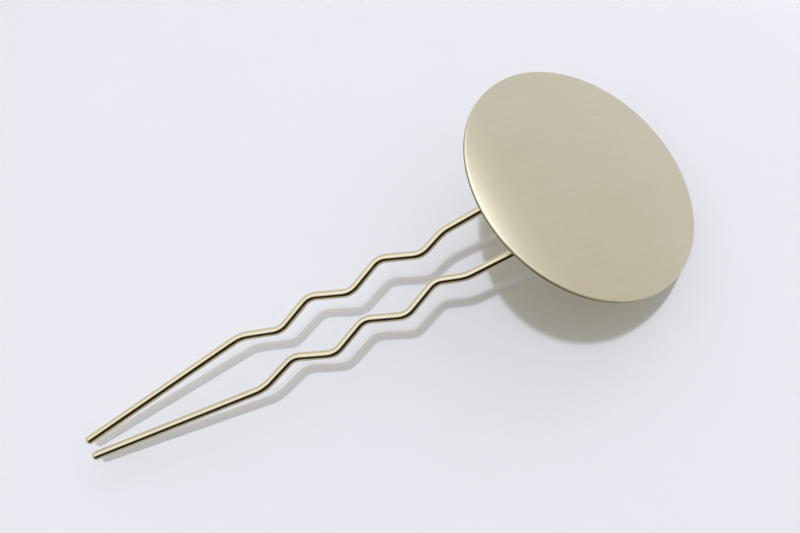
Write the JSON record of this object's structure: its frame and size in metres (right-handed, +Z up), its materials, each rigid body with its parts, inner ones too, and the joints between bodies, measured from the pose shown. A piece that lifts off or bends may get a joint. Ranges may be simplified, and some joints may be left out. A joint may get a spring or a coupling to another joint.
{
  "type": "hairpin",
  "caption": "Decorative hairpin: a shallow domed brushed metal disc soldered onto the bow of a crimped, springy, two-pronged wire pin.",
  "frame": {"origin": "centre of the base of the part's bounding box, on the table that the pin lies on", "axes": "+X along the pin from the tips to the disc, +Y towards the left prong, +Z up"},
  "size_m": [0.0913, 0.035, 0.0199],
  "materials": {
    "brushed_brass": "fine linear brush, satin, pale champagne gold",
    "brass_wire": "drawn and plated, bright, pale champagne gold",
    "plated_solder": "plated over after soldering, satin, slightly uneven"
  },
  "bodies": {
    "head": {"disc": "brushed_brass", "wire_bow": "brass_wire", "solder_bead_left": "plated_solder", "solder_bead_right": "plated_solder", "solder_bead_crown": "plated_solder"},
    "left_leg": {"prong_left": "brass_wire"},
    "right_leg": {"prong_right": "brass_wire"}
  },
  "joints": [
    {"name": "prong_left_flex", "type": "hinge", "parent": "head", "child": "left_leg", "pos_m": [0.02159, 0.00377, 0.00766], "axis": [0.105, 0, -0.9945], "range_deg": [-0.4, 6], "stiffness_Nm_per_rad": 0.36},
    {"name": "prong_right_flex", "type": "hinge", "parent": "head", "child": "right_leg", "pos_m": [0.02159, -0.00377, 0.00766], "axis": [-0.105, 0, 0.9945], "range_deg": [-0.4, 6], "stiffness_Nm_per_rad": 0.36}
  ]
}
